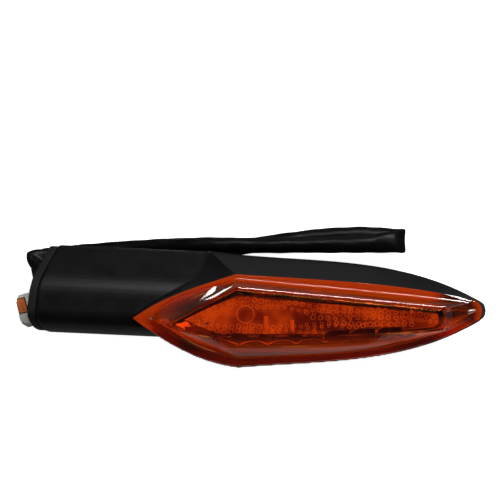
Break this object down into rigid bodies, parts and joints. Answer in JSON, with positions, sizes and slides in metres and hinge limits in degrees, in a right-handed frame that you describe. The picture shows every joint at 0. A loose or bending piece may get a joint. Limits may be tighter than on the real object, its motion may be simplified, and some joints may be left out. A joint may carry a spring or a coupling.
{
  "type": "turn signal indicator",
  "caption": "Motorcycle turn signal: a black stem and leaf-shaped head in one moulding, a raised amber lens, a slanted rubber-faced base and a sleeved lead with a connector.",
  "frame": {"origin": "middle of the lamp without its lead, on the surface that it lies on", "axes": "+X along the lamp from the base to the tip, +Z the way the lens faces, +Y to the side where the lead runs"},
  "size_m": [0.1336, 0.044, 0.031],
  "materials": {
    "black_plastic": "matte, fine moulded grain",
    "black_rubber": "matt rubber",
    "sleeve_pvc": "soft PVC, slight sheen",
    "amber_lens": "clear amber, polished",
    "amber_optic": "clear, textured",
    "reflector_silver": "metallised plastic",
    "board": "solder mask",
    "led_package": "moulded LED package",
    "chip_black": "moulded chip",
    "steel": "zinc plated",
    "brass": "tinned brass",
    "nylon_natural": "natural nylon",
    "retainer_orange": "moulded",
    "wire_black": "wire insulation",
    "wire_green": "wire insulation",
    "seal_blue": "silicone"
  },
  "bodies": {
    "lamp": {"housing": "black_plastic", "base_plate": "black_plastic", "base_gasket": "black_rubber", "lens_seal": "black_rubber", "lead_grommet": "black_rubber", "lead_sleeve": "sleeve_pvc", "lens": "amber_lens", "inner_optic": "amber_optic", "reflector": "reflector_silver", "circuit_board": "board", "led_1": "led_package", "led_2": "led_package", "led_3": "led_package", "led_4": "led_package", "led_5": "led_package", "led_6": "led_package", "resistor_1": "chip_black", "resistor_2": "chip_black", "protection_diode": "chip_black", "driver_chip": "chip_black", "board_screw_1": "steel", "board_screw_2": "steel", "mounting_insert": "steel", "terminal_live": "brass", "terminal_ground": "brass", "connector_housing": "nylon_natural", "wire_live": "wire_green", "inner_wire_live": "wire_green", "wire_ground": "wire_black", "inner_wire_ground": "wire_black", "wire_seal_live": "seal_blue", "wire_seal_ground": "seal_blue"},
    "retainer": {"terminal_retainer": "retainer_orange"},
    "latch": {"connector_latch": "nylon_natural"}
  },
  "joints": [
    {"name": "retainer_slide", "type": "slide", "parent": "lamp", "child": "retainer", "axis": [-0.9659, -0.2588, 0], "range_m": [0, 0.0012]},
    {"name": "latch_press", "type": "hinge", "parent": "lamp", "child": "latch", "pos_m": [-0.06374, 0.00134, 0.0075], "axis": [-0.2588, 0.9659, 0], "range_deg": [0, 5], "stiffness_Nm_per_rad": 0.05}
  ]
}
